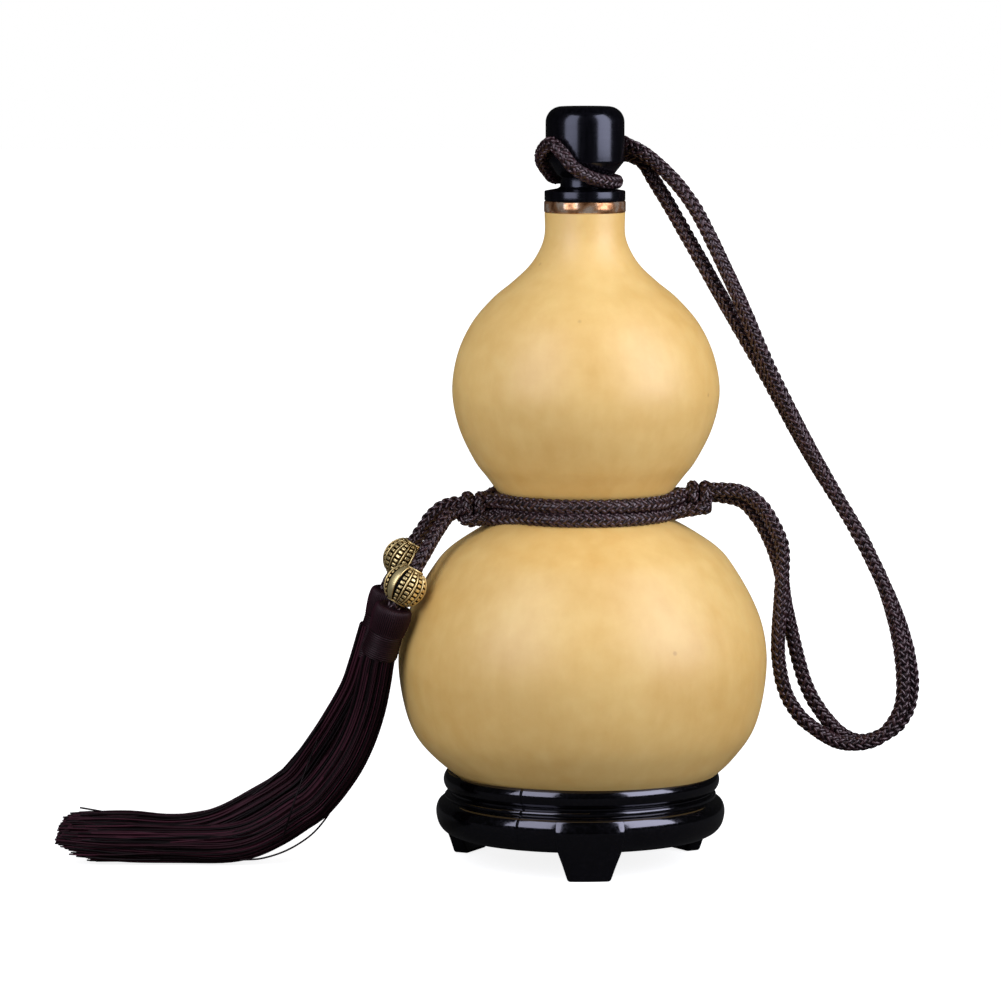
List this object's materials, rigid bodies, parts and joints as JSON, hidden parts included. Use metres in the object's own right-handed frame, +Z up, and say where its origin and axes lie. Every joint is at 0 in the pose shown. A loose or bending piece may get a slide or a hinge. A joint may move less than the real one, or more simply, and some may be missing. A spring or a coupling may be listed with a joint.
{
  "type": "dried bottle gourd",
  "caption": "Double-bulbed dried bottle gourd with a turned black stopper, a doubled braided cord, brass beads and burgundy tassels, standing on a small round black lacquered stand",
  "frame": {"origin": "on the surface that the stand's feet rest on, under the gourd's axis, which is the middle of the box of the gourd, stopper and stand without the cord, beads and tassels", "axes": "+Z up along the gourd's axis, its longest way; -Y the front, where the front foot is; +X the side of the long cord loop; -X the side where the tassels lie"},
  "size_m": [0.167, 0.0714, 0.146],
  "materials": {
    "gourd_skin": "dried gourd shell, matt pale yellow with ochre edges",
    "rose_gold": "thin polished rose-gold ring",
    "black_wood": "turned black wood, satin",
    "black_lacquer": "gloss black lacquer over wood",
    "brown_cord": "tight round braid of dark brown synthetic silk",
    "old_brass": "antique brass, dark in its hollows and bright on its ribs",
    "burgundy_thread": "dark burgundy silky threads"
  },
  "bodies": {
    "root": {"gourd": "gourd_skin", "mouth_ring": "rose_gold", "stopper": "black_wood", "stand_ring": "black_lacquer", "stand_foot_front": "black_lacquer", "stand_foot_left": "black_lacquer", "stand_foot_right": "black_lacquer", "cord_hitch": "brown_cord", "cord_strand_a": "brown_cord", "cord_strand_b": "brown_cord", "knot_right": "brown_cord", "knot_left": "brown_cord", "waist_cord_upper": "brown_cord", "waist_cord_lower": "brown_cord", "cord_drop_front": "brown_cord", "cord_drop_back": "brown_cord", "bead_front": "old_brass", "bead_back": "old_brass", "tassel_head_front": "burgundy_thread", "tassel_head_back": "burgundy_thread", "tassel_skirt_front": "burgundy_thread", "tassel_skirt_back": "burgundy_thread"}
  },
  "joints": []
}
